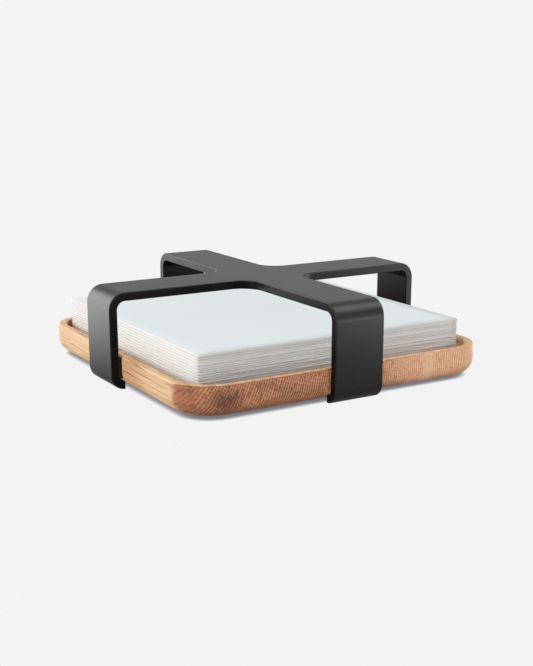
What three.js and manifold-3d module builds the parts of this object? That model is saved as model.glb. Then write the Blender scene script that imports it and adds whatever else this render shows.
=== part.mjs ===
// Table-top napkin dispenser: a square oak tray that stands on four silicone feet, a stack of
// quarter-folded napkins lying in it, and a cross-shaped metal frame that is lowered over the stack.
// Millimetres, +Z up. The origin is on the table under the centre of the tray.
// The oak's fibres run along Y, so the faces towards -Y and +Y show end grain.
import * as THREE from "three";
import { mergeVertices } from "three/addons/utils/BufferGeometryUtils.js";
import Module from "manifold-3d";

const wasm = await Module();
wasm.setup();

// ---- driving dimensions ----
const NAPKIN_SIDE = 165; // a 330 mm napkin folded in four
const NAPKIN_COUNT = 16;
const NAPKIN_THICKNESS = 1.45;
const NAPKIN_PITCH = 1.55;
const NAPKIN_CORNER = 2;
const STACK_X = -1.1; // the pile lies a little off the middle of the tray
const STACK_Y = 0.7;

const FOOT_STANDOFF = 1.5; // how far the feet hold the tray off the table
const TRAY_SIDE = 190;
const TRAY_CORNER = 23;
const RIM_HEIGHT = 18.5; // rim above the table
const WALL = 5; // rim width between its two rounded edges' outer limits
const FLOOR_HEIGHT = 7.5; // top of the tray's floor above the table
const BOTTOM_EDGE = 8; // radius under the outer edge
const RIM_EDGE = 1.2;
const COVE = 2.5; // radius between the inner wall and the floor

const LEG_WIDTH = 30;
const PLATE = 4.8; // thickness of the frame's plate
const FRAME_HEIGHT = 53;
const FRAME_GAP = 1.4; // between a leg and the tray's side
const BEND = 9.5; // outer radius of the bend at the top of each leg
const HOOK_BEND = 8; // outer radius of the bend that hooks under the tray
const CROTCH = 12; // concave radius between neighbouring arms

const NOTCH_CLEARANCE = 0.4;
const PAD_WIDTH = 24;
const PAD_TOP = 17.2;
const GLUE_GAP = 0.3; // left between pieces that touch

const FOOT_RADIUS = 6;
const FOOT_OFFSET = 66; // feet stand at plus and minus this, in X and Y
const FOOT_POCKET = 1.8; // depth of the blind pocket that holds a foot

// ---- worked out from them ----
const TRAY_HALF = TRAY_SIDE / 2;
const FRAME_HALF = TRAY_HALF + FRAME_GAP + PLATE;
const LIP_END = FRAME_HALF - HOOK_BEND; // where the bend under each leg stops
const NOTCH_FLOOR = LIP_END - NOTCH_CLEARANCE;
const LEG_INSIDE = FRAME_HALF - PLATE;
const PAD_REACH = (LEG_INSIDE + NOTCH_FLOOR) / 2; // middle of a pad, from the tray's middle

const oak = new THREE.MeshStandardMaterial({ color: 0xc98f5e, roughness: 0.6, metalness: 0 });
const coat = new THREE.MeshStandardMaterial({ color: 0x2b2b2c, roughness: 0.5, metalness: 0.2 });
const silicone = new THREE.MeshStandardMaterial({ color: 0x141414, roughness: 0.8, metalness: 0 });
const tissue = new THREE.MeshStandardMaterial({ color: 0xe9edee, roughness: 0.95, metalness: 0 });

// ---- solids ----
function solid(geometry) {
  const bare = geometry.clone();
  bare.deleteAttribute("normal");
  bare.deleteAttribute("uv");
  const merged = mergeVertices(bare, 1e-4);
  return new wasm.Manifold(
    new wasm.Mesh({
      numProp: 3,
      vertProperties: new Float32Array(merged.attributes.position.array),
      triVerts: new Uint32Array(merged.index.array),
    }),
  );
}

function geometryOf(manifold) {
  const mesh = manifold.getMesh();
  const geometry = new THREE.BufferGeometry();
  geometry.setAttribute("position", new THREE.BufferAttribute(mesh.vertProperties, 3));
  geometry.setIndex(new THREE.BufferAttribute(mesh.triVerts, 1));
  return geometry;
}

function box(sizeX, sizeY, sizeZ, x, y, z) {
  return new THREE.BoxGeometry(sizeX, sizeY, sizeZ).translate(x, y, z);
}

// One turn of points round a square with round corners.
function squareRing(half, corner, z, perCorner) {
  const ring = [];
  for (let quarter = 0; quarter < 4; quarter++) {
    const centre = (quarter + 0.5) * (Math.PI / 2);
    const cx = Math.sign(Math.cos(centre)) * (half - corner);
    const cy = Math.sign(Math.sin(centre)) * (half - corner);
    for (let i = 0; i <= perCorner; i++) {
      const a = (quarter + i / perCorner) * (Math.PI / 2);
      ring.push([cx + corner * Math.cos(a), cy + corner * Math.sin(a), z]);
    }
  }
  return ring;
}

// A closed skin through rings of equal length, with a flat cap on the first and the last.
function skin(rings) {
  const count = rings[0].length;
  const points = rings.flat(2);
  const faces = [];
  for (let r = 0; r + 1 < rings.length; r++) {
    for (let i = 0; i < count; i++) {
      const a = r * count + i;
      const b = r * count + ((i + 1) % count);
      faces.push(a, b, b + count, a, b + count, a + count);
    }
  }
  const top = (rings.length - 1) * count;
  for (let i = 1; i + 1 < count; i++) {
    faces.push(0, i + 1, i);
    faces.push(top, top + i, top + i + 1);
  }
  const geometry = new THREE.BufferGeometry();
  geometry.setAttribute("position", new THREE.Float32BufferAttribute(points, 3));
  geometry.setIndex(faces);
  return geometry;
}

// The tray's section as [inset from the side, height], from the underside round to the floor.
function traySection() {
  const section = [];
  const arc = (inset, height, radius, from, to, steps) => {
    for (let i = 0; i <= steps; i++) {
      const a = THREE.MathUtils.degToRad(from + ((to - from) * i) / steps);
      section.push([inset + radius * Math.cos(a), height + radius * Math.sin(a)]);
    }
  };
  arc(BOTTOM_EDGE, FOOT_STANDOFF + BOTTOM_EDGE, BOTTOM_EDGE, 270, 180, 8);
  arc(RIM_EDGE, RIM_HEIGHT - RIM_EDGE, RIM_EDGE, 180, 90, 3);
  arc(WALL - RIM_EDGE, RIM_HEIGHT - RIM_EDGE, RIM_EDGE, 90, 0, 3);
  arc(WALL + COVE, FLOOR_HEIGHT + COVE, COVE, 180, 270, 6);
  return section;
}

function tray() {
  const rings = traySection().map(([inset, height]) =>
    squareRing(TRAY_HALF - inset, TRAY_CORNER - inset, height, 10),
  );
  let body = solid(skin(rings));
  const depth = FRAME_GAP + TRAY_HALF - NOTCH_FLOOR + 10;
  const width = LEG_WIDTH + 2 * NOTCH_CLEARANCE;
  const reach = NOTCH_FLOOR + depth / 2;
  for (const side of [-1, 1]) {
    body = body.subtract(solid(box(depth, width, 60, side * reach, 0, RIM_HEIGHT / 2)));
    body = body.subtract(solid(box(width, depth, 60, 0, side * reach, RIM_HEIGHT / 2)));
  }
  const pocketTop = FOOT_STANDOFF + FOOT_POCKET;
  for (const x of [-FOOT_OFFSET, FOOT_OFFSET]) {
    for (const y of [-FOOT_OFFSET, FOOT_OFFSET]) {
      const pocket = new THREE.CylinderGeometry(FOOT_RADIUS + GLUE_GAP, FOOT_RADIUS + GLUE_GAP, 10, 32);
      pocket.rotateX(Math.PI / 2).translate(x, y, pocketTop - 5);
      body = body.subtract(solid(pocket));
    }
  }
  return geometryOf(body);
}

// Two legs, the arms between them and the bends under the tray, as one strip seen from its edge.
function strip() {
  const inside = BEND - PLATE;
  const hookInside = HOOK_BEND - PLATE;
  const turn = FRAME_HALF - BEND;
  const high = FRAME_HEIGHT - BEND;
  const outline = new THREE.Shape();
  outline.moveTo(-LIP_END, 0);
  outline.absarc(-LIP_END, HOOK_BEND, HOOK_BEND, -Math.PI / 2, -Math.PI, true);
  outline.absarc(-turn, high, BEND, Math.PI, Math.PI / 2, true);
  outline.absarc(turn, high, BEND, Math.PI / 2, 0, true);
  outline.absarc(LIP_END, HOOK_BEND, HOOK_BEND, 0, -Math.PI / 2, true);
  outline.lineTo(LIP_END, PLATE);
  outline.absarc(LIP_END, HOOK_BEND, hookInside, -Math.PI / 2, 0, false);
  outline.absarc(turn, high, inside, 0, Math.PI / 2, false);
  outline.absarc(-turn, high, inside, Math.PI / 2, Math.PI, false);
  outline.absarc(-LIP_END, HOOK_BEND, hookInside, Math.PI, 1.5 * Math.PI, false);
  outline.closePath();
  const geometry = new THREE.ExtrudeGeometry(outline, {
    depth: LEG_WIDTH,
    bevelEnabled: false,
    curveSegments: 8,
  });
  return geometry.translate(0, 0, -LEG_WIDTH / 2).rotateX(Math.PI / 2);
}

// The crossing of the two strips, with a concave corner between neighbouring arms.
function crossing() {
  const half = LEG_WIDTH / 2;
  const far = half + CROTCH;
  const outline = new THREE.Shape();
  outline.moveTo(far, -half);
  outline.lineTo(far, half);
  outline.absarc(far, far, CROTCH, -Math.PI / 2, -Math.PI, true);
  outline.lineTo(-half, far);
  outline.absarc(-far, far, CROTCH, 0, -Math.PI / 2, true);
  outline.lineTo(-far, -half);
  outline.absarc(-far, -far, CROTCH, Math.PI / 2, 0, true);
  outline.lineTo(half, -far);
  outline.absarc(far, -far, CROTCH, Math.PI, Math.PI / 2, true);
  const geometry = new THREE.ExtrudeGeometry(outline, {
    depth: PLATE,
    bevelEnabled: false,
    curveSegments: 8,
  });
  return geometry.translate(0, 0, FRAME_HEIGHT - PLATE);
}

function frame() {
  const along = solid(strip());
  const across = solid(strip().rotateZ(Math.PI / 2));
  return geometryOf(along.add(across).add(solid(crossing())));
}

// A napkin is a plain slab here: its folds are far thinner than the slab is wide.
function napkin() {
  const half = NAPKIN_SIDE / 2;
  return skin([
    squareRing(half, NAPKIN_CORNER, 0, 2),
    squareRing(half, NAPKIN_CORNER, NAPKIN_THICKNESS, 2),
  ]);
}

// A pad fills the space between a leg and the tray's notch, down into the bend of the hook.
function gripPad() {
  const inner = NOTCH_FLOOR + GLUE_GAP - PAD_REACH;
  const outer = LEG_INSIDE - GLUE_GAP - PAD_REACH;
  const bend = LIP_END - PAD_REACH;
  const bottom = PLATE + GLUE_GAP;
  const outline = new THREE.Shape();
  outline.moveTo(inner, bottom);
  outline.lineTo(bend, bottom);
  outline.absarc(bend, HOOK_BEND, HOOK_BEND - bottom, -Math.PI / 2, 0, false);
  outline.lineTo(outer, PAD_TOP);
  outline.lineTo(inner, PAD_TOP);
  outline.closePath();
  const geometry = new THREE.ExtrudeGeometry(outline, {
    depth: PAD_WIDTH,
    bevelEnabled: false,
    curveSegments: 8,
  });
  return geometry.translate(0, 0, -PAD_WIDTH / 2).rotateX(Math.PI / 2).rotateZ(Math.PI / 2);
}

function foot() {
  const tall = FOOT_STANDOFF + FOOT_POCKET - GLUE_GAP;
  return new THREE.LatheGeometry(
    [
      new THREE.Vector2(0, 0),
      new THREE.Vector2(FOOT_RADIUS - 0.5, 0),
      new THREE.Vector2(FOOT_RADIUS, 0.5),
      new THREE.Vector2(FOOT_RADIUS, tall),
      new THREE.Vector2(0, tall),
    ],
    32,
  ).rotateX(Math.PI / 2);
}

// ---- the assembly ----
const dispenser = new THREE.Group();

function place(name, geometry, material, x = 0, y = 0, z = 0, turn = 0, group = dispenser) {
  const mesh = new THREE.Mesh(geometry, material);
  mesh.name = name;
  mesh.position.set(x, y, z);
  mesh.rotation.z = turn;
  group.add(mesh);
}

place("tray", tray(), oak);
const corners = { front_left: [-1, -1], front_right: [1, -1], rear_right: [1, 1], rear_left: [-1, 1] };
for (const [corner, [x, y]] of Object.entries(corners)) {
  place(`foot_${corner}`, foot(), silicone, x * FOOT_OFFSET, y * FOOT_OFFSET);
}

place("cross_frame", frame(), coat);
["rear", "left", "front", "right"].forEach((side, quarter) => {
  const turn = (quarter * Math.PI) / 2;
  const x = -Math.sin(turn) * PAD_REACH;
  const y = Math.cos(turn) * PAD_REACH;
  place(`grip_pad_${side}`, gripPad(), silicone, x, y, 0, turn);
});

const stackBottom = FLOOR_HEIGHT + NAPKIN_PITCH - NAPKIN_THICKNESS;
for (let i = 0; i < NAPKIN_COUNT; i++) {
  const name = `napkin_${String(i + 1).padStart(2, "0")}`;
  place(name, napkin(), tissue, STACK_X, STACK_Y, stackBottom + i * NAPKIN_PITCH);
}

export default dispenser;
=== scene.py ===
"""Napkin dispenser: an oak tray, a stack of folded paper napkins and a black cross frame."""

import math
import random

import bmesh
import bpy
from mathutils import Matrix, Vector


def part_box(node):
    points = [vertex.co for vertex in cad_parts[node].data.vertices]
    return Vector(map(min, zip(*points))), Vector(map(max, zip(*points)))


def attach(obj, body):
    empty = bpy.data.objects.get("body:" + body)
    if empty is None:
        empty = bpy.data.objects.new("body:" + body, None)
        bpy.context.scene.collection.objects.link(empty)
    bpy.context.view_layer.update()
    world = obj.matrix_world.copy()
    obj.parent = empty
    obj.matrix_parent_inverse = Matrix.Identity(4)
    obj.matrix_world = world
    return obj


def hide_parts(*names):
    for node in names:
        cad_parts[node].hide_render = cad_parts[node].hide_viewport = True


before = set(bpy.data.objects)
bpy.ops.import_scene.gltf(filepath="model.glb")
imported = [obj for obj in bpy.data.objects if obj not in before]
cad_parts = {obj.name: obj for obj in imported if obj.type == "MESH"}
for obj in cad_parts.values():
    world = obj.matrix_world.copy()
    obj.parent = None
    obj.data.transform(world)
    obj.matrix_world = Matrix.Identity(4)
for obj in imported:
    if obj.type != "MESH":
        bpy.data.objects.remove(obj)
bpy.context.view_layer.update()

bl_info = {
    "name": "Napkin Dispenser",
    "version": (1, 0, 0),
    "blender": (4, 5, 0),
    "location": "3D View > Sidebar > Napkins",
    "description": "Builds a tray of paper napkins held by a cross-shaped frame",
    "category": "Object",
}

MM = 0.001
TAU = 2 * math.pi

SIDES = ("rear", "left", "front", "right")
CORNERS = ("front_left", "front_right", "rear_right", "rear_left")
NAPKIN_NODES = sorted(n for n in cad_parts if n.startswith("napkin_"))

LEG_WIDTH = 30 * MM
PLATE = 4.8 * MM
BEND = 9.5 * MM  # at the top of a leg
HOOK_BEND = 8 * MM  # under the tray
CROTCH = 12 * MM
NOTCH_PLAY = 0.4 * MM
GLUE_GAP = 0.3 * MM
WALL = 5 * MM
BOTTOM_EDGE = 8 * MM
RIM_EDGE = 1.2 * MM
COVE = 2.5 * MM
FLOOR_HEIGHT = 7.5 * MM
TRAY_CORNER = 23 * MM
FOLD_FLATNESS = 0.2  # how far a pressed fold bulges, next to a half circle
WAVINESS = 0.14 * MM  # of a napkin's open edges, and of the top napkin's surface
SAG = 0.07 * MM  # of the top napkin's edges
PAD_RIBS = 7
RIB_DEPTH = 0.35 * MM
TREAD_ROUND = 0.7 * MM  # round a foot's lower edge

LIGHT_AIM = Vector((0, 0, 0.02))
CAMERA_TARGET = Vector((3.734, -29.796, -6.351)) * MM
CAMERA_DISTANCE = 648.715 * MM
CAMERA_TURN, CAMERA_LIFT, CAMERA_ROLL = (math.radians(a) for a in (32.478, 15.494, 0.348))
CAMERA_LENS = 60.91  # millimetres, on a sensor 36 mm wide
CAMERA_SHIFT = (-0.0379, 0.0735)


# ---------------------------------------------------------------- settings


class TraySettings(bpy.types.PropertyGroup):
    light_wood: bpy.props.FloatVectorProperty(
        name="Light wood",
        description="Colour of the pale late wood",
        subtype="COLOR",
        size=3,
        min=0,
        max=1,
        default=(0.86, 0.59, 0.345),
    )
    dark_wood: bpy.props.FloatVectorProperty(
        name="Dark wood",
        description="Colour of the open-pored early wood",
        subtype="COLOR",
        size=3,
        min=0,
        max=1,
        default=(0.7, 0.42, 0.22),
    )
    end_grain: bpy.props.FloatVectorProperty(
        name="End grain",
        description="Colour of the faces cut across the fibres",
        subtype="COLOR",
        size=3,
        min=0,
        max=1,
        default=(0.5, 0.19, 0.088),
    )
    ring_spacing: bpy.props.FloatProperty(
        name="Ring spacing",
        description="Mean width of a year's growth",
        unit="LENGTH",
        default=2.0 * MM,
        min=0.5 * MM,
    )


class FrameSettings(bpy.types.PropertyGroup):
    edge_round: bpy.props.FloatProperty(
        name="Edge round",
        description="Radius on the long edges of the plate",
        unit="LENGTH",
        default=0.55 * MM,
        min=0.1 * MM,
        max=2 * MM,
    )
    coat: bpy.props.FloatVectorProperty(
        name="Powder coat",
        description="Colour of the coating",
        subtype="COLOR",
        size=3,
        min=0,
        max=1,
        default=(0.012, 0.012, 0.0125),
    )


class NapkinSettings(bpy.types.PropertyGroup):
    paper: bpy.props.FloatVectorProperty(
        name="Paper",
        description="Colour of the tissue",
        subtype="COLOR",
        size=3,
        min=0,
        max=1,
        default=(0.785, 0.84, 0.855),
    )
    paper_edge: bpy.props.FloatVectorProperty(
        name="Paper edge",
        description="Colour of the open, cut edges",
        subtype="COLOR",
        size=3,
        min=0,
        max=1,
        default=(0.84, 0.765, 0.71),
    )
    layer_pitch: bpy.props.FloatProperty(
        name="Layer pitch",
        description="Height of one layer of a folded napkin",
        unit="LENGTH",
        default=0.36 * MM,
        min=0.1 * MM,
    )
    sheet_thickness: bpy.props.FloatProperty(
        name="Sheet thickness",
        description="Thickness of one unfolded napkin",
        unit="LENGTH",
        default=0.33 * MM,
        min=0.05 * MM,
    )
    seed: bpy.props.IntProperty(
        name="Seed",
        description="Chooses how unevenly the napkins lie on each other",
        default=7,
    )


class StageSettings(bpy.types.PropertyGroup):
    backdrop: bpy.props.FloatProperty(
        name="Backdrop",
        description="Brightness of the plain backdrop",
        default=0.905,
        min=0,
        max=1,
    )
    room_light: bpy.props.FloatProperty(
        name="Room light",
        description="Strength of the even light from all round",
        default=0.85,
        min=0,
    )
    left_power: bpy.props.FloatProperty(
        name="Left light",
        description="Power of the low soft light on the left",
        unit="POWER",
        default=7.6,
        min=0,
    )
    sheen_power: bpy.props.FloatProperty(
        name="Sheen light",
        description="Power of the light that only draws highlights",
        unit="POWER",
        default=4.2,
        min=0,
    )
    haze_power: bpy.props.FloatProperty(
        name="Haze light",
        description="Power of the light that the left leg's top bend mirrors",
        unit="POWER",
        default=10.0,
        min=0,
    )
    # The three reflection settings set painted reflections: the table glows at these strengths
    # only in reflections.
    front_shine: bpy.props.FloatProperty(
        name="Front reflection",
        description="Brightness of the table in front as the frame mirrors it",
        default=0.3,
        min=0,
    )
    back_shine: bpy.props.FloatProperty(
        name="Back reflection",
        description="Brightness of the table behind on the left as the frame mirrors it",
        default=3.7,
        min=0,
    )
    right_shine: bpy.props.FloatProperty(
        name="Right reflection",
        description="Brightness of the table on the right as the frame mirrors it",
        default=6.5,
        min=0,
    )


# ---------------------------------------------------------------- materials


class Shader:
    """A small writer for one material's nodes."""

    def __init__(self, name):
        self.material = bpy.data.materials.new(name)
        self.material.use_nodes = True
        self.tree = self.material.node_tree
        self.tree.nodes.clear()
        self.surface = self.add("ShaderNodeBsdfPrincipled")
        out = self.add("ShaderNodeOutputMaterial")
        self.tree.links.new(self.surface.outputs[0], out.inputs["Surface"])
        self.place = self.add("ShaderNodeTexCoord").outputs["Object"]

    def add(self, kind, inputs=None, **settings):
        node = self.tree.nodes.new(kind)
        for key, value in settings.items():
            setattr(node, key, value)
        for key, value in (inputs or {}).items():
            self.put(node.inputs[key], value)
        return node

    def put(self, socket, value):
        if isinstance(value, bpy.types.NodeSocket):
            self.tree.links.new(value, socket)
        elif socket.type == "RGBA" and len(value) == 3:
            socket.default_value = (*value, 1)
        else:
            socket.default_value = value

    def math(self, operation, a, b=0.0, c=0.0):
        return self.add("ShaderNodeMath", {0: a, 1: b, 2: c}, operation=operation).outputs[0]

    def times(self, a, b):
        return self.math("MULTIPLY", a, b)

    def line(self, value, slope, start):
        return self.math("MULTIPLY_ADD", value, slope, start)

    def distance(self, value, centre):
        return self.math("ABSOLUTE", self.math("SUBTRACT", value, centre))

    def axes(self, vector):
        return self.add("ShaderNodeSeparateXYZ", {0: vector}).outputs

    def joined(self, x, y, z=0.0):
        return self.add("ShaderNodeCombineXYZ", {0: x, 1: y, 2: z}).outputs[0]

    def facing(self):
        return self.add("ShaderNodeNewGeometry").outputs["Normal"]

    def scaled(self, scale, vector=None):
        """The object's own coordinates, with one unit of pattern per given length."""
        factor = tuple(1 / s for s in scale)
        inputs = {0: vector or self.place, 1: factor}
        return self.add("ShaderNodeVectorMath", inputs, operation="MULTIPLY").outputs[0]

    def noise(self, vector, detail=2.0, rough=0.5):
        inputs = {"Vector": vector, "Scale": 1.0, "Detail": detail, "Roughness": rough}
        return self.add("ShaderNodeTexNoise", inputs).outputs[0]

    def ramp(self, value, low, high, to_low=0.0, to_high=1.0):
        ends = {"From Min": low, "From Max": high, "To Min": to_low, "To Max": to_high}
        inputs = {"Value": value, **ends}
        node = self.add("ShaderNodeMapRange", inputs, interpolation_type="SMOOTHSTEP")
        return node.outputs[0]

    def mix(self, factor, a, b):
        return self.add("ShaderNodeMix", {0: factor, 6: a, 7: b}, data_type="RGBA").outputs[2]

    def tint(self, colour, factor, strength, other):
        """The colour, mixed towards another where the factor is high."""
        return self.mix(self.times(factor, strength), colour, other)

    def bump(self, height, depth, strength=1.0, normal=None):
        inputs = {"Height": height, "Distance": depth, "Strength": strength}
        if normal:
            inputs["Normal"] = normal
        return self.add("ShaderNodeBump", inputs).outputs[0]

    def set(self, **inputs):
        for key, value in inputs.items():
            self.put(self.surface.inputs[key.replace("_", " ").title()], value)
        return self.material


# Where the oak's pattern lies on the tray, in the tray's own coordinates.
HEART_X = 30 * MM  # the middle of the tree, above the plank
HEART_Z = 225 * MM
FIBRE_TILT = 11  # degrees between the fibres and Y
FIBRE_DIP = 1.3  # degrees between the fibres and the table
RAY_TURN = 0.0062  # radians between two rays, about 1.3 mm
STRIPE_X = 50.5 * MM  # a pale stripe in the cut end
KNOT_X, KNOT_Z = -75 * MM, 10 * MM
LEG_SHADOW_Y = -20 * MM  # painted shadow of the leg on the long grain, deepest here


def fibre_noises(oak):
    """Patterns drawn out along the fibres: pores, fine threads and a broad blush."""
    lean = oak.add(
        "ShaderNodeVectorRotate",
        {"Vector": oak.place, "Angle": math.radians(-FIBRE_DIP)},
        rotation_type="X_AXIS",
    ).outputs[0]
    fine = oak.noise(oak.scaled((0.5 * MM, 11 * MM, 0.42 * MM), lean), detail=2.0, rough=0.6)
    threads = oak.noise(oak.scaled((0.8 * MM, 60 * MM, 0.75 * MM), lean), detail=2.0, rough=0.7)
    broad = oak.noise(oak.scaled((3 * MM, 60 * MM, 3 * MM), lean), detail=2.0)
    return oak.ramp(fine, 0.55, 0.72), threads, oak.ramp(broad, 0.38, 0.66)


def growth(oak, x, z, ring_spacing):
    """Polar coordinates about the tree's heart, and the early part of each year's ring."""
    across = oak.math("SUBTRACT", x, HEART_X)
    above = oak.math("SUBTRACT", HEART_Z, z)
    wander = oak.noise(oak.scaled((40 * MM, 170 * MM, 30 * MM)), detail=1.0)
    shift = oak.times(oak.math("SUBTRACT", wander, 0.5), 10 * MM)
    squares = oak.math("ADD", oak.times(across, across), oak.times(above, above))
    radius = oak.math("ADD", oak.math("SQRT", squares), shift)
    angle = oak.math("ARCTAN2", across, above)
    phase = oak.math("FRACT", oak.math("DIVIDE", radius, ring_spacing))
    return radius, angle, oak.times(oak.ramp(phase, 0.0, 0.15), oak.ramp(phase, 0.7, 0.25))


def wood_rays(oak, radius, angle):
    """Pale threads that run out from the heart, broken here and there, seen on the cut ends."""
    sway = oak.noise(oak.scaled((7 * MM, 30 * MM, 10 * MM)), detail=2.0)
    turns = oak.line(sway, 1.0, oak.math("DIVIDE", angle, RAY_TURN))
    wave = oak.math("SINE", oak.times(turns, TAU))
    spot = oak.joined(oak.math("DIVIDE", angle, 0.006), oak.math("DIVIDE", radius, 4 * MM))
    breaks = oak.noise(spot, detail=2.0, rough=0.6)
    return oak.times(oak.ramp(wave, 0.05, 1.0), oak.ramp(breaks, 0.3, 0.6))


def pore_dots(oak, radius, angle, y):
    """Pores as the cut ends show them: dots in rows along the rings."""
    spot = oak.joined(
        oak.math("DIVIDE", angle, 0.0036),
        oak.math("DIVIDE", radius, 0.95 * MM),
        oak.math("DIVIDE", y, 9 * MM),
    )
    return oak.ramp(oak.noise(spot, detail=1.0), 0.5, 0.7)


def oiled_oak(settings):
    """Flat-sawn oak: long grain on the two sides along Y, cut ends on the other two."""
    oak = Shader("oiled_oak")
    light, dark, end = (
        tuple(colour) for colour in (settings.light_wood, settings.dark_wood, settings.end_grain)
    )
    x, y, z = oak.axes(oak.place)
    radius, angle, early = growth(oak, x, z, settings.ring_spacing)
    pores, threads, blush = fibre_noises(oak)
    open_pores = oak.times(pores, oak.line(early, 0.75, 0.25))
    cracks = oak.ramp(threads, 0.582, 0.66)
    rays = wood_rays(oak, radius, angle)
    dots = pore_dots(oak, radius, angle, y)

    tilt = math.radians(FIBRE_TILT)
    fibres = (math.sin(tilt), math.cos(tilt), 0)
    across_fibres = oak.add(
        "ShaderNodeVectorMath", {0: oak.facing(), 1: fibres}, operation="DOT_PRODUCT"
    ).outputs["Value"]
    facing_cut = oak.math("ABSOLUTE", across_fibres)
    streak = oak.times(oak.math("SUBTRACT", threads, 0.5), 0.5)
    cut = oak.ramp(oak.math("ADD", facing_cut, streak), 0.18, 0.46)
    square_on = oak.ramp(facing_cut, 0.72, 0.99)

    right = oak.ramp(x, 0.0, 48 * MM)
    pale_side = oak.ramp(x, 74 * MM, 88 * MM)
    pale_stripe = oak.ramp(oak.distance(x, STRIPE_X), 5.5 * MM, 1.5 * MM)
    knot_width = oak.ramp(oak.distance(x, KNOT_X), 13 * MM, 3 * MM)
    knot_height = oak.ramp(oak.distance(z, KNOT_Z), 9 * MM, 1 * MM)
    knot = oak.times(knot_width, knot_height)
    leg_shadow = oak.ramp(oak.distance(y, LEG_SHADOW_Y), 34 * MM, 4 * MM)
    patch = oak.noise(oak.scaled((26 * MM, 90 * MM, 12 * MM)), detail=2.0)
    shade = oak.times(oak.ramp(patch, 0.38, 0.66), oak.line(right, -0.4, 0.5))

    long_grain = oak.tint(light, blush, 0.8, dark)
    long_grain = oak.tint(long_grain, early, 0.35, dark)
    # Painted shadow of the leg on the long-grain sides, darker beside it.
    long_grain = oak.tint(long_grain, leg_shadow, 0.65, (0.57, 0.27, 0.115))
    long_grain = oak.tint(long_grain, open_pores, 0.5, (0.34, 0.14, 0.05))
    long_grain = oak.tint(long_grain, cracks, 0.8, (0.2, 0.075, 0.03))

    # The cut ends, from the broad changes of colour to the fine lines.
    deep_end = tuple(0.42 * channel for channel in end)
    cut_wood = oak.mix(shade, tuple(1.15 * channel for channel in end), deep_end)
    cut_wood = oak.tint(cut_wood, early, 0.45, deep_end)
    cut_wood = oak.tint(cut_wood, right, 0.8, (0.92, 0.47, 0.25))
    # Darker where the cut ends round over, less so to the right: painted shade on the rounded
    # edges, with the long grain's blush and cracks showing through.
    rounding_shade_and_grain = oak.times(oak.math("SUBTRACT", 1.0, square_on), 0.85)
    rounding_shade_and_grain = oak.times(rounding_shade_and_grain, oak.line(right, -0.8, 1.0))
    cut_wood = oak.mix(rounding_shade_and_grain, cut_wood, (0.43, 0.165, 0.068))
    cut_wood = oak.tint(cut_wood, rounding_shade_and_grain, blush, (0.3, 0.105, 0.05))
    cut_wood = oak.tint(cut_wood, rounding_shade_and_grain, cracks, (0.13, 0.045, 0.025))
    cut_wood = oak.tint(cut_wood, knot, 0.85, (0.13, 0.043, 0.028))
    dot_strength = oak.times(oak.line(square_on, 0.5, 0.25), oak.line(right, -0.6, 1.0))
    cut_wood = oak.tint(cut_wood, dots, dot_strength, (0.12, 0.045, 0.03))
    ray_strength = oak.times(oak.line(shade, -0.4, 0.85), oak.line(square_on, 0.75, 0.25))
    ray_strength = oak.times(ray_strength, oak.line(knot, -0.6, 1.0))
    ray_colour = oak.mix(right, (0.85, 0.51, 0.28), (1.0, 0.8, 0.55))
    cut_wood = oak.tint(cut_wood, rays, ray_strength, ray_colour)
    cut_wood = oak.tint(cut_wood, pale_stripe, 0.5, (0.92, 0.62, 0.38))
    cut_wood = oak.tint(cut_wood, pale_side, 0.85, light)

    hollows = oak.math("MAXIMUM", open_pores, cracks)
    height = oak.math("SUBTRACT", oak.times(rays, 0.3), hollows)
    oak.surface.inputs["Specular IOR Level"].default_value = 0.3
    return oak.set(
        base_color=oak.mix(cut, long_grain, cut_wood),
        roughness=oak.line(open_pores, 0.18, 0.58),
        normal=oak.bump(height, 0.08 * MM, 0.7),
    )


def satin_black_coat(settings, name, depth, gloss):
    """Fine satin powder coat on steel plate; a darker, duller copy of it on the cut edges and
    inner faces is painted shade.
    """
    coat = Shader(name)
    cloud = coat.noise(coat.scaled((22 * MM,) * 3), detail=3.0)
    grain = coat.noise(coat.scaled((0.28 * MM,) * 3), detail=2.0, rough=0.6)
    peel = coat.noise(coat.scaled((1.6 * MM,) * 3), detail=1.0)
    coat.surface.inputs["Specular IOR Level"].default_value = gloss
    darker, lighter = (
        tuple(share * depth * channel for channel in settings.coat) for share in (0.86, 1.14)
    )
    rough = coat.math("ADD", coat.times(grain, 0.08), coat.times(cloud, 0.06))
    return coat.set(
        base_color=coat.mix(coat.ramp(cloud, 0.3, 0.7), darker, lighter),
        roughness=coat.math("ADD", rough, 0.3),
        normal=coat.bump(grain, 0.02 * MM, 0.5, coat.bump(peel, 0.03 * MM, 0.35)),
    )


def black_silicone(name, shade):
    """Matt black silicone with a fine grain and a little dust."""
    rubber = Shader(name)
    grain = rubber.noise(rubber.scaled((0.35 * MM,) * 3), detail=2.0)
    dust = rubber.noise(rubber.scaled((5 * MM,) * 3), detail=3.0)
    dusty = (1.6 * shade, 1.55 * shade, 1.5 * shade)
    return rubber.set(
        base_color=rubber.mix(rubber.ramp(dust, 0.45, 0.75), (shade,) * 3, dusty),
        roughness=rubber.line(grain, 0.15, 0.62),
        normal=rubber.bump(grain, 0.04 * MM, 0.5),
    )


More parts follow.
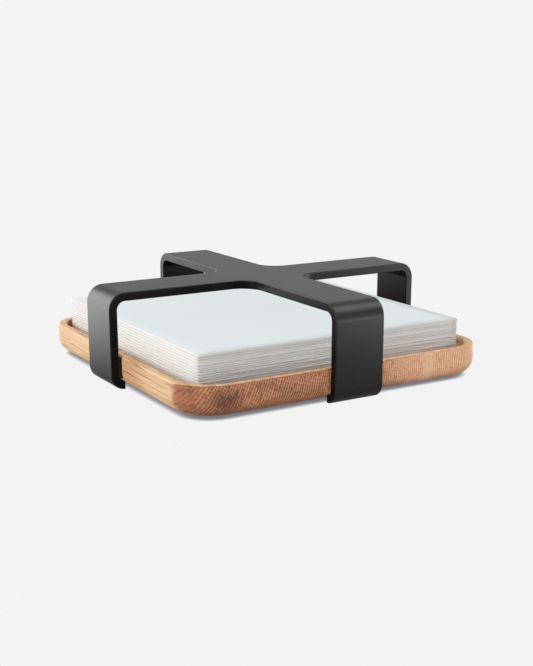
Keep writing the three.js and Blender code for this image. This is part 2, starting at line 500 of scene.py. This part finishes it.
def soft_tissue(settings):
    """White tissue: a fine crepe across the sheet, and the lines of its plies on every edge."""
    tissue = Shader("soft_tissue")
    crepe = tissue.noise(tissue.scaled((0.9 * MM, 0.35 * MM, 0.9 * MM)), detail=2.0, rough=0.6)
    mottle = tissue.noise(tissue.scaled((7 * MM, 5 * MM, 7 * MM)), detail=3.0)
    plies = tissue.noise(tissue.scaled((14 * MM, 14 * MM, 0.11 * MM)), detail=2.0, rough=0.6)
    bands = tissue.noise(tissue.scaled((60 * MM, 60 * MM, 0.9 * MM)), detail=2.0, rough=0.6)
    facing = tissue.axes(tissue.facing())
    edge = tissue.ramp(tissue.math("ABSOLUTE", facing[2]), 0.75, 0.3)
    open_side = tissue.ramp(facing[0], -0.75, -0.35)  # all but the folded side at -X
    x, _, height = tissue.axes(tissue.place)

    paper = tuple(settings.paper)
    dull_paper = tuple(0.985 * channel for channel in paper)
    top = tissue.mix(tissue.ramp(mottle, 0.3, 0.7), dull_paper, paper)
    # Painted shade on the open edges: darker low in the stack, lighter towards the right.
    low = tissue.ramp(height, 9 * MM, 27 * MM, 0.62, 0.0)
    cut_edge = tissue.mix(low, tuple(settings.paper_edge), (0.42, 0.37, 0.33))
    to_right = tissue.ramp(x, 15 * MM, 60 * MM, 0.0, 0.6)
    cut_edge = tissue.mix(to_right, cut_edge, (0.98, 0.93, 0.89))
    colour = tissue.mix(edge, top, tissue.mix(open_side, (0.93, 0.905, 0.87), cut_edge))
    lines = tissue.times(tissue.ramp(plies, 0.62, 0.35), edge)
    colour = tissue.tint(colour, lines, tissue.line(open_side, 0.11, 0.03), (0.5, 0.46, 0.42))
    # Painted shade in bands, standing for the gaps between the napkins.
    gap_shade = tissue.times(tissue.ramp(bands, 0.6, 0.35), edge)
    colour = tissue.tint(colour, gap_shade, tissue.line(open_side, 0.06, 0.03), (0.6, 0.55, 0.5))

    creped = tissue.bump(crepe, 0.05 * MM, tissue.line(edge, -0.3, 0.35))
    normal = tissue.bump(plies, 0.1 * MM, tissue.times(edge, 0.25), creped)
    tissue.surface.inputs["Sheen Weight"].default_value = 0.15
    tissue.surface.inputs["Sheen Roughness"].default_value = 0.6
    return tissue.set(base_color=colour, roughness=0.95, normal=normal)


# ---------------------------------------------------------------- meshes


def mesh_of(name, points, faces):
    """A smooth mesh with doubled points joined and its faces turned outwards."""
    mesh = bpy.data.meshes.new(name)
    mesh.from_pydata([tuple(p) for p in points], [], faces)
    work = bmesh.new()
    work.from_mesh(mesh)
    bmesh.ops.remove_doubles(work, verts=work.verts, dist=1e-6)
    bmesh.ops.recalc_face_normals(work, faces=work.faces)
    for face in work.faces:
        face.smooth = True
    work.to_mesh(mesh)
    work.free()
    return mesh


def piece(name, mesh, body, node, material):
    """Adds a piece that stands for a solid of the frame and moves with its body."""
    thing = bpy.data.objects.new(name, mesh)
    bpy.context.scene.collection.objects.link(thing)
    mesh.materials.append(material)
    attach(thing, body)
    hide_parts(node)
    return thing


def even_normals(thing):
    """Keeps large flat faces flat beside their rounded edges."""
    modifier = thing.modifiers.new("even_normals", "WEIGHTED_NORMAL")
    modifier.mode = "FACE_AREA"
    modifier.weight = 60
    modifier.keep_sharp = False


def arc(centre, radius, start, end, steps):
    """Points on an arc in a plane, angles in degrees, with the outward direction at each."""
    stations = []
    for i in range(steps + 1):
        turn = math.radians(start + (end - start) * i / steps)
        outward = math.cos(turn), math.sin(turn)
        point = centre[0] + radius * outward[0], centre[1] + radius * outward[1]
        stations.append((point, outward))
    return stations


def node_box(node):
    """The lowest and the highest corner of a solid of the frame."""
    return [Vector(corner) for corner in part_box(node)]


def loft(rings, count):
    """Faces between rings of points that each close on themselves."""
    faces = []
    for ring in range(rings - 1):
        for i in range(count):
            a, b = ring * count + i, ring * count + (i + 1) % count
            faces.append((a, b, b + count, a + count))
    return faces


def tray_section(bottom, rim):
    """The tray's section from underneath round to its floor, as (inset, height)."""
    lower = arc((BOTTOM_EDGE, bottom + BOTTOM_EDGE), BOTTOM_EDGE, 270, 180, 16)
    outer = arc((RIM_EDGE, rim - RIM_EDGE), RIM_EDGE, 180, 90, 6)
    inner = arc((WALL - RIM_EDGE, rim - RIM_EDGE), RIM_EDGE, 90, 0, 6)
    cove = arc((WALL + COVE, FLOOR_HEIGHT + COVE), COVE, 180, 270, 8)
    return [point for point, _ in lower + outer + inner + cove]


def square_ring(half, corner, height, notch_floor, notch_half):
    """One turn round the tray, stepping in behind each leg."""
    ring = []
    inner = min(half, notch_floor)
    for quarter in range(4):
        turn = Matrix.Rotation(quarter * math.pi / 2, 3, "Z")
        side = [(half, -notch_half), (inner, -notch_half)]
        side += [(inner, notch_half), (half, notch_half)]
        side += [point for point, _ in arc((half - corner, half - corner), corner, 0, 90, 20)]
        ring += [turn @ Vector((out, along, height)) for out, along in side]
    return ring


def tray_mesh():
    low, high = node_box("tray")
    half = (high.x - low.x) / 2
    notch_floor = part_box("cross_frame")[1][0] - HOOK_BEND - NOTCH_PLAY
    notch_half = LEG_WIDTH / 2 + NOTCH_PLAY
    rings = [
        square_ring(half - inset, TRAY_CORNER - inset, height, notch_floor, notch_half)
        for inset, height in tray_section(low.z, high.z)
    ]
    count = len(rings[0])
    last = (len(rings) - 1) * count
    faces = loft(len(rings), count)
    faces.append(tuple(range(count - 1, -1, -1)))
    faces.append(tuple(range(last, last + count)))
    return mesh_of("oak_tray", [p for ring in rings for p in ring], faces)


def leg_path(half, height):
    """Stations down one arm and leg: (distance out, height) and outward direction."""
    turn = half - BEND
    hub = LEG_WIDTH / 2 + CROTCH
    path = [((hub, height), (0, 1))]
    path += arc((turn, height - BEND), BEND, 90, 0, 14)
    path += arc((half - HOOK_BEND, HOOK_BEND), HOOK_BEND, 0, -90, 14)
    return path


def edge_profile(radius):
    """Round from the outer face over the plate's edge to the inner face, as (inset, depth)."""
    turns = [i * math.pi / 8 for i in range(5)]
    top = [(radius - radius * math.sin(a), radius - radius * math.cos(a)) for a in turns]
    return top + [(inset, PLATE - depth) for inset, depth in reversed(top)]


def cross_frame_mesh(settings):
    """A flat cross with rounded edges whose four arms are bent down and hooked inwards."""
    _, high = node_box("cross_frame")
    half, height = high.x, high.z
    path = leg_path(half, height)
    profile = edge_profile(settings.edge_round)
    wide = LEG_WIDTH / 2
    far = wide + CROTCH
    outline = []  # per outline vertex: a function from (inset, depth) to a point

    def on_arm(turn, station, side, tip):
        (out, up), (n_out, n_up) = station

        def point(inset, depth):
            along = -inset if tip else 0.0
            x = out - depth * n_out + along * n_up
            z = up - depth * n_up - along * n_out
            return turn @ Vector((x, side * (wide - inset), z))

        return point

    def on_crotch(turn, place, outward):
        def point(inset, depth):
            x, y = (at + inset * out for at, out in zip(place, outward))
            return turn @ Vector((x, y, height - depth))

        return point

    arms = []
    for quarter in range(4):
        turn = Matrix.Rotation(quarter * math.pi / 2, 3, "Z")
        right = list(range(len(outline), len(outline) + len(path)))
        for i, station in enumerate(path):
            outline.append(on_arm(turn, station, -1, i == len(path) - 1))
        left = list(range(len(outline), len(outline) + len(path)))
        for i, station in reversed(list(enumerate(path))):
            outline.append(on_arm(turn, station, 1, i == len(path) - 1))
        arms.append((right, left[::-1]))
        # The arc bulges towards the middle, so its outward direction points into the plate.
        for place, outward in arc((far, far), CROTCH, 270, 180, 12)[1:-1]:
            outline.append(on_crotch(turn, place, outward))

    rows = len(profile)
    points = [vertex(*p) for vertex in outline for p in profile]
    count = len(outline)
    faces = []
    for k in range(count):
        for j in range(rows - 1):
            a, b = k * rows + j, ((k + 1) % count) * rows + j
            faces.append((a, b, b + 1, a + 1))
    bent = {k for right, left in arms for k in right[1:] + left[1:]}
    for j in (0, rows - 1):
        faces.append(tuple(k * rows + j for k in range(count) if k not in bent))
        for right, left in arms:
            for i in range(len(right) - 1):
                corners = right[i], right[i + 1], left[i + 1], left[i]
                faces.append(tuple(k * rows + j for k in corners))
    mesh = mesh_of("cross_frame", points, faces)
    # The cut edges and the inner faces take the darker, duller copy of the coat: painted shade.
    strips = rows - 1
    outer_cap = count * strips
    caps = (len(mesh.polygons) - outer_cap) // 2
    for face in mesh.polygons:
        rim = face.index < outer_cap and face.index % strips >= strips // 2
        inner_cap = face.index >= outer_cap + caps
        face.material_index = int(rim or inner_cap)
    return mesh


def grip_pad_mesh(node):
    """A ribbed silicone pad that fills the leg down into its hook; the ribs press on the tray."""
    low, high = node_box(node)
    centre, size = (low + high) / 2, high - low
    along_x = size.x > size.y
    wide, deep = (size.x, size.y) if along_x else (size.y, size.x)
    top, bevel, end_bevel, margin = size.z / 2, 0.3 * MM, 0.25 * MM, 0.2 * MM
    bend = HOOK_BEND - PLATE - GLUE_GAP

    # Down the back, round the hook and up the ribbed front, as (depth, height).
    section = [(bevel - deep / 2, top), (-deep / 2, top - bevel)]
    section += [spot for spot, _ in arc((bend - deep / 2, bend - top), bend, 180, 270, 10)]
    steps = 8
    for i in range(PAD_RIBS * steps + 1):
        up = margin - top + (size.z - 2 * margin) * i / (PAD_RIBS * steps)
        section.append((deep / 2 - RIB_DEPTH * (0.5 + 0.5 * math.cos(TAU * i / steps)), up))

    half = wide / 2
    across = [(-half, end_bevel), (end_bevel - half, 0), (half - end_bevel, 0), (half, end_bevel)]
    inward = -1 if (centre.y if along_x else centre.x) > 0 else 1
    points = []
    for side, inset in across:
        for d, up in section:
            d -= math.copysign(min(inset, abs(d)), d)
            up -= math.copysign(min(inset, abs(up)), up)
            flat = (side, d * inward) if along_x else (d * inward, side)
            points.append(centre + Vector((*flat, up)))
    n = len(section)
    faces = loft(len(across), n)
    faces += [tuple(range(n)), tuple(range(len(points) - 1, len(points) - n - 1, -1))]
    return mesh_of(node, points, faces)


def foot_mesh(node):
    """A turned foot with a rounded tread and a shallow dish under it."""
    low, high = node_box(node)
    centre, radius = (low + high) / 2, (high.x - low.x) / 2
    tall = high.z - low.z
    section = [(0, 0.35 * MM), (2.2 * MM, 0.35 * MM), (2.7 * MM, 0.05 * MM), (3.1 * MM, 0)]
    section += [p for p, _ in arc((radius - TREAD_ROUND, TREAD_ROUND), TREAD_ROUND, -90, 0, 6)]
    section += [(radius, tall - 0.2 * MM), (radius - 0.2 * MM, tall), (0, tall)]
    turns = 48
    points = []
    for r, h in section:
        for i in range(turns):
            a = TAU * i / turns
            points.append((centre.x + r * math.cos(a), centre.y + r * math.sin(a), low.z + h))
    return mesh_of(node, points, loft(len(section), turns))


def fold_steps(bend, flat):
    """How far a sheet's grid lines stand from its fold: close on the bend, wide on the flat."""
    tight = [bend * i / 5 for i in range(5)]
    return tight + [bend + (flat - bend) * (i / 22) for i in range(23)]


def napkin_mesh(node, settings, order, count, chance):
    """One square sheet folded in half twice, with its layers kept apart by their own thickness."""
    low, high = node_box(node)
    side = high.x - low.x
    centre = (low + high) / 2
    pitch = settings.layer_pitch
    inner, outer = pitch / 2, pitch
    height = order / max(1, count - 1)
    slip_x, slip_y = chance.uniform(-0.1, 0.1) * MM, chance.uniform(-0.3, 0.3) * MM
    skew = math.radians(chance.uniform(-0.14, 0.14))
    uneven_x, uneven_y = (chance.uniform(-0.3, 0.3) * MM for _ in range(2))
    waves = [
        (chance.uniform(-1, 1), chance.uniform(0, TAU), chance.uniform(35, 80) * MM)
        for _ in range(4)
    ]
    short_y = math.pi * inner / 2
    short_x = math.pi * outer / 2

    def steps(bend, uneven):
        ahead = fold_steps(bend, side + uneven)
        behind = fold_steps(bend, side - uneven)
        return [-s for s in reversed(behind[1:])] + ahead

    def ripple(pair, along):
        return sum(a * math.sin(TAU * along / w + p) for a, p, w in pair) * WAVINESS

    def spot(u, v):
        """Where a point of the unfolded sheet comes to lie."""
        run = abs(v)
        if run < short_y:
            turn = run / inner
            y = side / 2 - inner + inner * math.cos(turn)
            off = math.copysign(inner * math.sin(turn), v)
        else:
            y = side / 2 - inner - (run - short_y)
            off = math.copysign(inner, v)
        run = abs(u)
        reach = outer + off
        back = -side / 2 + FOLD_FLATNESS * (outer + inner)
        if run < short_x:
            turn = run / outer
            x = back - FOLD_FLATNESS * reach * math.cos(turn)
            z = math.copysign(reach * math.sin(turn), u)
        else:
            x = back + (run - short_x)
            z = math.copysign(reach, u)
        # The open edges wave a little; the closed ones stay straighter.
        x += ripple(waves[:2], y) * (x / side + 0.5) ** 6
        y += ripple(waves[2:], x) * (0.5 - y / side) ** 6
        # Higher in the pile, the sheets swell slowly and sag at their edges.
        swell = math.sin(TAU * (x / 0.21 + 0.13)) * math.sin(TAU * (y / 0.26 + 0.31))
        droop = (abs(x) / side * 2) ** 10 + (abs(y) / side * 2) ** 10
        return Vector((x, y, z + (WAVINESS * swell - SAG * droop) * height))

    us, vs = steps(short_x, uneven_x), steps(short_y, uneven_y)
    spin = Matrix.Rotation(skew, 3, "Z")
    drift = centre + Vector((slip_x, slip_y, 0))
    points = [spin @ spot(u, v) + drift for u in us for v in vs]
    n = len(vs)
    faces = [
        (i * n + j, i * n + j + 1, (i + 1) * n + j + 1, (i + 1) * n + j)
        for i in range(len(us) - 1)
        for j in range(n - 1)
    ]
    return mesh_of(node, points, faces)


def thickened(thing, thickness):
    """Gives a sheet its thickness and keeps the result in the mesh."""
    modifier = thing.modifiers.new("thickness", "SOLIDIFY")
    modifier.thickness = thickness
    modifier.offset = 0
    evaluated = thing.evaluated_get(bpy.context.evaluated_depsgraph_get())
    solid = bpy.data.meshes.new_from_object(evaluated)
    thing.modifiers.clear()
    thing.data = solid


# ---------------------------------------------------------------- operators


class NAPKINS_OT_tray(bpy.types.Operator):
    """Build the oak tray"""

    bl_idname = "napkins.tray"
    bl_label = "Oak tray"

    def execute(self, context):
        settings = context.scene.oak_tray
        tray = piece("oak_tray", tray_mesh(), "tray", "tray", oiled_oak(settings))
        even_normals(tray)
        return {"FINISHED"}


class NAPKINS_OT_feet(bpy.types.Operator):
    """Build the four feet under the tray"""

    bl_idname = "napkins.feet"
    bl_label = "Feet"

    def execute(self, context):
        rubber = black_silicone("foot_silicone", 0.03)
        for corner in CORNERS:
            node = f"foot_{corner}"
            foot = piece(f"silicone_{node}", foot_mesh(node), "tray", node, rubber)
            even_normals(foot)
        return {"FINISHED"}


class NAPKINS_OT_cross_frame(bpy.types.Operator):
    """Build the bent cross frame"""

    bl_idname = "napkins.cross_frame"
    bl_label = "Cross frame"

    def execute(self, context):
        settings = context.scene.cross_frame
        steel = piece(
            "steel_cross_frame",
            cross_frame_mesh(settings),
            "frame",
            "cross_frame",
            satin_black_coat(settings, "satin_black_coat", 1.0, 0.35),
        )
        # A darker, duller copy of the coat for the cut edges and inner faces: painted shade.
        steel.data.materials.append(satin_black_coat(settings, "painted_shade_coat", 0.3, 0.13))
        even_normals(steel)
        steel.visible_shadow = False
        steel.visible_diffuse = False
        return {"FINISHED"}


class NAPKINS_OT_grip_pads(bpy.types.Operator):
    """Build the pads between the legs and the tray"""

    bl_idname = "napkins.grip_pads"
    bl_label = "Grip pads"

    def execute(self, context):
        # The pads' near black, darker than the feet, is partly painted shade of the gap between
        # leg and tray.
        rubber = black_silicone("pad_silicone", 0.009)
        for side in SIDES:
            node = f"grip_pad_{side}"
            mesh = grip_pad_mesh(node)
            pad = piece(f"ribbed_{node}", mesh, "frame", node, rubber)
            even_normals(pad)
        return {"FINISHED"}


class NAPKINS_OT_napkins(bpy.types.Operator):
    """Fold and stack the paper napkins"""

    bl_idname = "napkins.napkins"
    bl_label = "Napkins"

    def execute(self, context):
        settings = context.scene.napkins
        chance = random.Random(settings.seed)
        tissue = soft_tissue(settings)
        for order, node in enumerate(NAPKIN_NODES):
            top = node == NAPKIN_NODES[-1]
            mesh = napkin_mesh(node, settings, order, len(NAPKIN_NODES), chance)
            body = "top_napkin" if top else "napkin_stack"
            sheet = piece(f"paper_{node}", mesh, body, node, tissue)
            thickened(sheet, settings.sheet_thickness)
            sheet.visible_glossy = False
        return {"FINISHED"}


def soft_light(name, place, size, power, colour=(1.0, 1.0, 1.0)):
    """A rectangular light that faces the object."""
    lamp = bpy.data.lights.new(name, "AREA")
    lamp.shape = "RECTANGLE"
    lamp.size, lamp.size_y = size
    lamp.energy = power
    lamp.color = colour
    thing = bpy.data.objects.new(name, lamp)
    thing.location = place
    thing.rotation_euler = (LIGHT_AIM - Vector(place)).to_track_quat("-Z", "Y").to_euler()
    bpy.context.scene.collection.objects.link(thing)
    return thing


class NAPKINS_OT_stage(bpy.types.Operator):
    """Set up the floor, the lights and the camera"""

    bl_idname = "napkins.stage"
    bl_label = "Stage"

    def execute(self, context):
        settings = context.scene.napkin_stage
        self.floor(context, settings)
        self.lights(context, settings)
        self.camera(context)
        return {"FINISHED"}

    def floor(self, context, settings):
        """A white table that glows evenly for the camera but for a painted shade near the object
        and a painted contact shadow; in reflections it glows unevenly, as painted reflections on
        the frame.
        """
        mesh = bpy.data.meshes.new("floor")
        far = 30
        corners = [(-far, -far, 0), (far, -far, 0), (far, far, 0), (-far, far, 0)]
        mesh.from_pydata(corners, [], [(0, 1, 2, 3)])
        floor = bpy.data.objects.new("floor", mesh)
        floor.location.z = -0.2 * MM
        context.scene.collection.objects.link(floor)
        mesh.materials.append(self.white_card(settings))

    def white_card(self, settings):
        """What the camera sees of the table, the painted reflections the frame mirrors of it, and
        the card itself.
        """
        card = Shader("white_card")
        rays = card.add("ShaderNodeLightPath").outputs
        x, y, _ = card.axes(card.place)
        away = card.math("SQRT", card.math("ADD", card.times(x, x), card.times(y, y)))
        # Painted shade on the glowing table: a little darker near the object, and a painted
        # contact shadow where things stand on it.
        plain = card.ramp(away, 0.1, 0.22, 0.985, 1.0)
        crevice = card.add("ShaderNodeAmbientOcclusion", {"Distance": 3.5 * MM}, samples=12)
        shadow = card.ramp(crevice.outputs["AO"], 0.1, 0.8, 0.08, 1.0)
        # Painted reflections: for glossy rays the table glows brighter behind on the left and on
        # the right.
        back_left = card.math("ADD", card.times(x, -0.6), card.times(y, 0.8))
        behind = card.ramp(back_left, 0.04, 0.34, settings.front_shine, settings.back_shine)
        right = card.ramp(x, 0.14, 0.175, settings.front_shine, settings.right_shine)

        def glow(colour, strength):
            inputs = {"Color": colour, "Strength": strength}
            return card.add("ShaderNodeEmission", inputs).outputs[0]

        def choose(ray, others, this):
            return card.add("ShaderNodeMixShader", {0: rays[ray], 1: others, 2: this}).outputs[0]

        matt = card.add("ShaderNodeBsdfDiffuse", {"Color": (0.8, 0.8, 0.8)}).outputs[0]
        seen = glow((settings.backdrop,) * 3, card.times(plain, shadow))
        painted_reflection = glow((1, 1, 1), card.math("MAXIMUM", behind, right))
        surface = choose("Is Camera Ray", choose("Is Glossy Ray", matt, painted_reflection), seen)
        card.put(card.tree.nodes["Material Output"].inputs["Surface"], surface)
        return card.material

    def lights(self, context, settings):
        world = bpy.data.worlds.new("studio")
        context.scene.world = world
        world.use_nodes = True
        nodes, links = world.node_tree.nodes, world.node_tree.links
        nodes.clear()
        rays = nodes.new("ShaderNodeLightPath").outputs
        dimmer = nodes.new("ShaderNodeMapRange")  # the room is a little darker in reflections
        dimmer.inputs["To Min"].default_value = settings.room_light
        dimmer.inputs["To Max"].default_value = 0.8 * settings.room_light
        links.new(rays["Is Glossy Ray"], dimmer.inputs["Value"])
        room = nodes.new("ShaderNodeBackground")
        room.inputs["Color"].default_value = (0.985, 0.995, 1.0, 1)
        links.new(dimmer.outputs[0], room.inputs["Strength"])
        wall = nodes.new("ShaderNodeBackground")
        wall.inputs["Color"].default_value = (settings.backdrop,) * 3 + (1,)
        blend = nodes.new("ShaderNodeMixShader")
        out = nodes.new("ShaderNodeOutputWorld")
        links.new(rays["Is Camera Ray"], blend.inputs[0])
        links.new(room.outputs[0], blend.inputs[1])
        links.new(wall.outputs[0], blend.inputs[2])
        links.new(blend.outputs[0], out.inputs["Surface"])
        warm = (1.0, 0.985, 0.955)
        soft_light("left_light", (-1.55, 0.1, 0.5), (1.4, 0.5), settings.left_power, warm)
        highlights = (
            soft_light("sheen_light", (0.62, -0.34, 0.98), (0.7, 0.5), settings.sheen_power),
            soft_light("haze_light", (-0.75, 1.2, 0.42), (1.2, 0.7), settings.haze_power),
        )
        for light in highlights:
            light.visible_diffuse = False
        context.scene.view_settings.view_transform = "Standard"

    def camera(self, context):
        lens = bpy.data.cameras.new("camera")
        lens.sensor_width = 36
        lens.lens = CAMERA_LENS
        lens.shift_x, lens.shift_y = CAMERA_SHIFT
        lens.clip_start = 0.01
        camera = bpy.data.objects.new("camera", lens)
        level = math.cos(CAMERA_LIFT)
        back = Vector(
            (-math.sin(CAMERA_TURN) * level, -math.cos(CAMERA_TURN) * level, math.sin(CAMERA_LIFT))
        )
        camera.location = CAMERA_TARGET + back * CAMERA_DISTANCE
        look = (-back).to_track_quat("-Z", "Y").to_matrix()
        look = look @ Matrix.Rotation(CAMERA_ROLL, 3, "Z")
        camera.rotation_euler = look.to_euler()
        context.scene.collection.objects.link(camera)
        context.scene.camera = camera


class NAPKINS_PT_panel(bpy.types.Panel):
    bl_label = "Napkin Dispenser"
    bl_idname = "NAPKINS_PT_panel"
    bl_space_type = "VIEW_3D"
    bl_region_type = "UI"
    bl_category = "Napkins"

    def draw(self, context):
        layout = self.layout
        for name, group in SETTINGS.items():
            box = layout.box()
            settings = getattr(context.scene, name)
            for field in group.__annotations__:
                box.prop(settings, field)
        for operator in OPERATORS:
            layout.operator(operator.bl_idname)


SETTINGS = {
    "oak_tray": TraySettings,
    "cross_frame": FrameSettings,
    "napkins": NapkinSettings,
    "napkin_stage": StageSettings,
}
OPERATORS = (
    NAPKINS_OT_stage,
    NAPKINS_OT_tray,
    NAPKINS_OT_feet,
    NAPKINS_OT_cross_frame,
    NAPKINS_OT_grip_pads,
    NAPKINS_OT_napkins,
)
CLASSES = (*SETTINGS.values(), *OPERATORS, NAPKINS_PT_panel)


def register():
    for cls in CLASSES:
        bpy.utils.register_class(cls)
    for name, group in SETTINGS.items():
        setattr(bpy.types.Scene, name, bpy.props.PointerProperty(type=group))


def unregister():
    for name in SETTINGS:
        delattr(bpy.types.Scene, name)
    for cls in reversed(CLASSES):
        bpy.utils.unregister_class(cls)


def main():
    register()
    bpy.ops.napkins.stage()
    bpy.ops.napkins.tray()
    bpy.ops.napkins.feet()
    bpy.ops.napkins.cross_frame()
    bpy.ops.napkins.grip_pads()
    bpy.ops.napkins.napkins()


if __name__ == "__main__":
    main()
